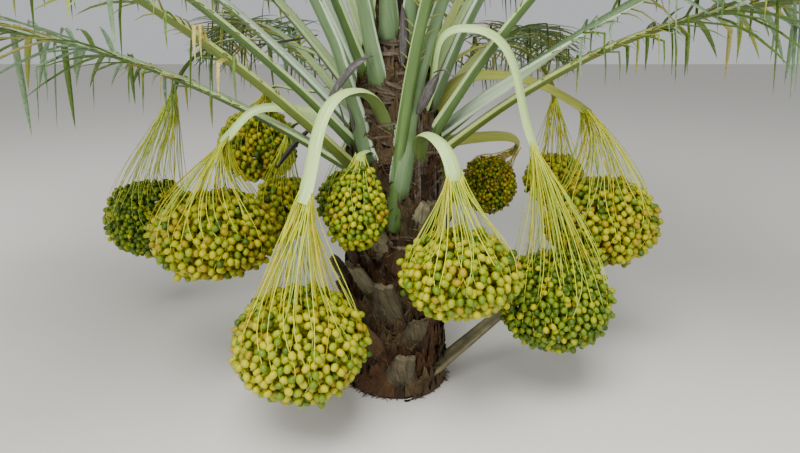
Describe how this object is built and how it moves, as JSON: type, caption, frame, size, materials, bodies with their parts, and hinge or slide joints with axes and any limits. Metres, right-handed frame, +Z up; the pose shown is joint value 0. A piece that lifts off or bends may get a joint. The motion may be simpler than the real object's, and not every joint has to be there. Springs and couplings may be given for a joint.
{
  "type": "date palm tree",
  "caption": "Young date palm in fruit: a short trunk in old leaf bases, a fountain of feather leaves and heavy bunches of dates that hang from arched stalks all round",
  "frame": {"origin": "middle of the trunk's flat cut at ground level", "axes": "+Z up; the front, with the two largest bunches, faces -Y; +X to the right"},
  "size_m": [4.8182, 4.0125, 3.5595],
  "materials": {
    "trunk": "rough dark brown fibre and grey-brown cut leaf bases",
    "old_leaf": "dry grey-brown leaf stalk",
    "leaf": "leathery green leaflets on a smooth pale green rib with a grey bloom",
    "fruit_stalk": "smooth pale green to yellow flat stalk",
    "fruit": "smooth waxy dates, green turning yellow and orange, on yellow strands"
  },
  "bodies": {
    "root": {"trunk": "trunk", "old_leaf_stalk": "old_leaf", "spear_leaf": "leaf", "fruit_stalk_01": "fruit_stalk", "fruit_bunch_01": "fruit", "fruit_stalk_02": "fruit_stalk", "fruit_bunch_02": "fruit", "fruit_stalk_03": "fruit_stalk", "fruit_bunch_03": "fruit", "fruit_stalk_04": "fruit_stalk", "fruit_bunch_04": "fruit", "fruit_stalk_05": "fruit_stalk", "fruit_bunch_05": "fruit", "fruit_stalk_06": "fruit_stalk", "fruit_bunch_06": "fruit", "fruit_stalk_07": "fruit_stalk", "fruit_bunch_07": "fruit", "fruit_stalk_08": "fruit_stalk", "fruit_bunch_08": "fruit", "fruit_stalk_09": "fruit_stalk", "fruit_bunch_09": "fruit", "fruit_stalk_10": "fruit_stalk", "fruit_bunch_10": "fruit", "fruit_stalk_11": "fruit_stalk", "fruit_bunch_11": "fruit", "fruit_stalk_12": "fruit_stalk", "fruit_bunch_12": "fruit", "fruit_stalk_13": "fruit_stalk", "fruit_bunch_13": "fruit", "leaf_01": "leaf", "leaf_02": "leaf", "leaf_03": "leaf", "leaf_04": "leaf", "leaf_05": "leaf", "leaf_06": "leaf", "leaf_07": "leaf", "leaf_08": "leaf", "leaf_09": "leaf", "leaf_10": "leaf", "leaf_11": "leaf", "leaf_12": "leaf", "leaf_13": "leaf", "leaf_14": "leaf", "leaf_15": "leaf", "leaf_16": "leaf", "leaf_17": "leaf", "leaf_18": "leaf", "leaf_19": "leaf", "leaf_20": "leaf", "leaf_21": "leaf", "leaf_22": "leaf", "leaf_23": "leaf", "leaf_24": "leaf", "leaf_25": "leaf", "leaf_26": "leaf", "leaf_27": "leaf", "leaf_28": "leaf", "leaf_29": "leaf", "leaf_30": "leaf", "leaf_31": "leaf"}
  },
  "joints": []
}
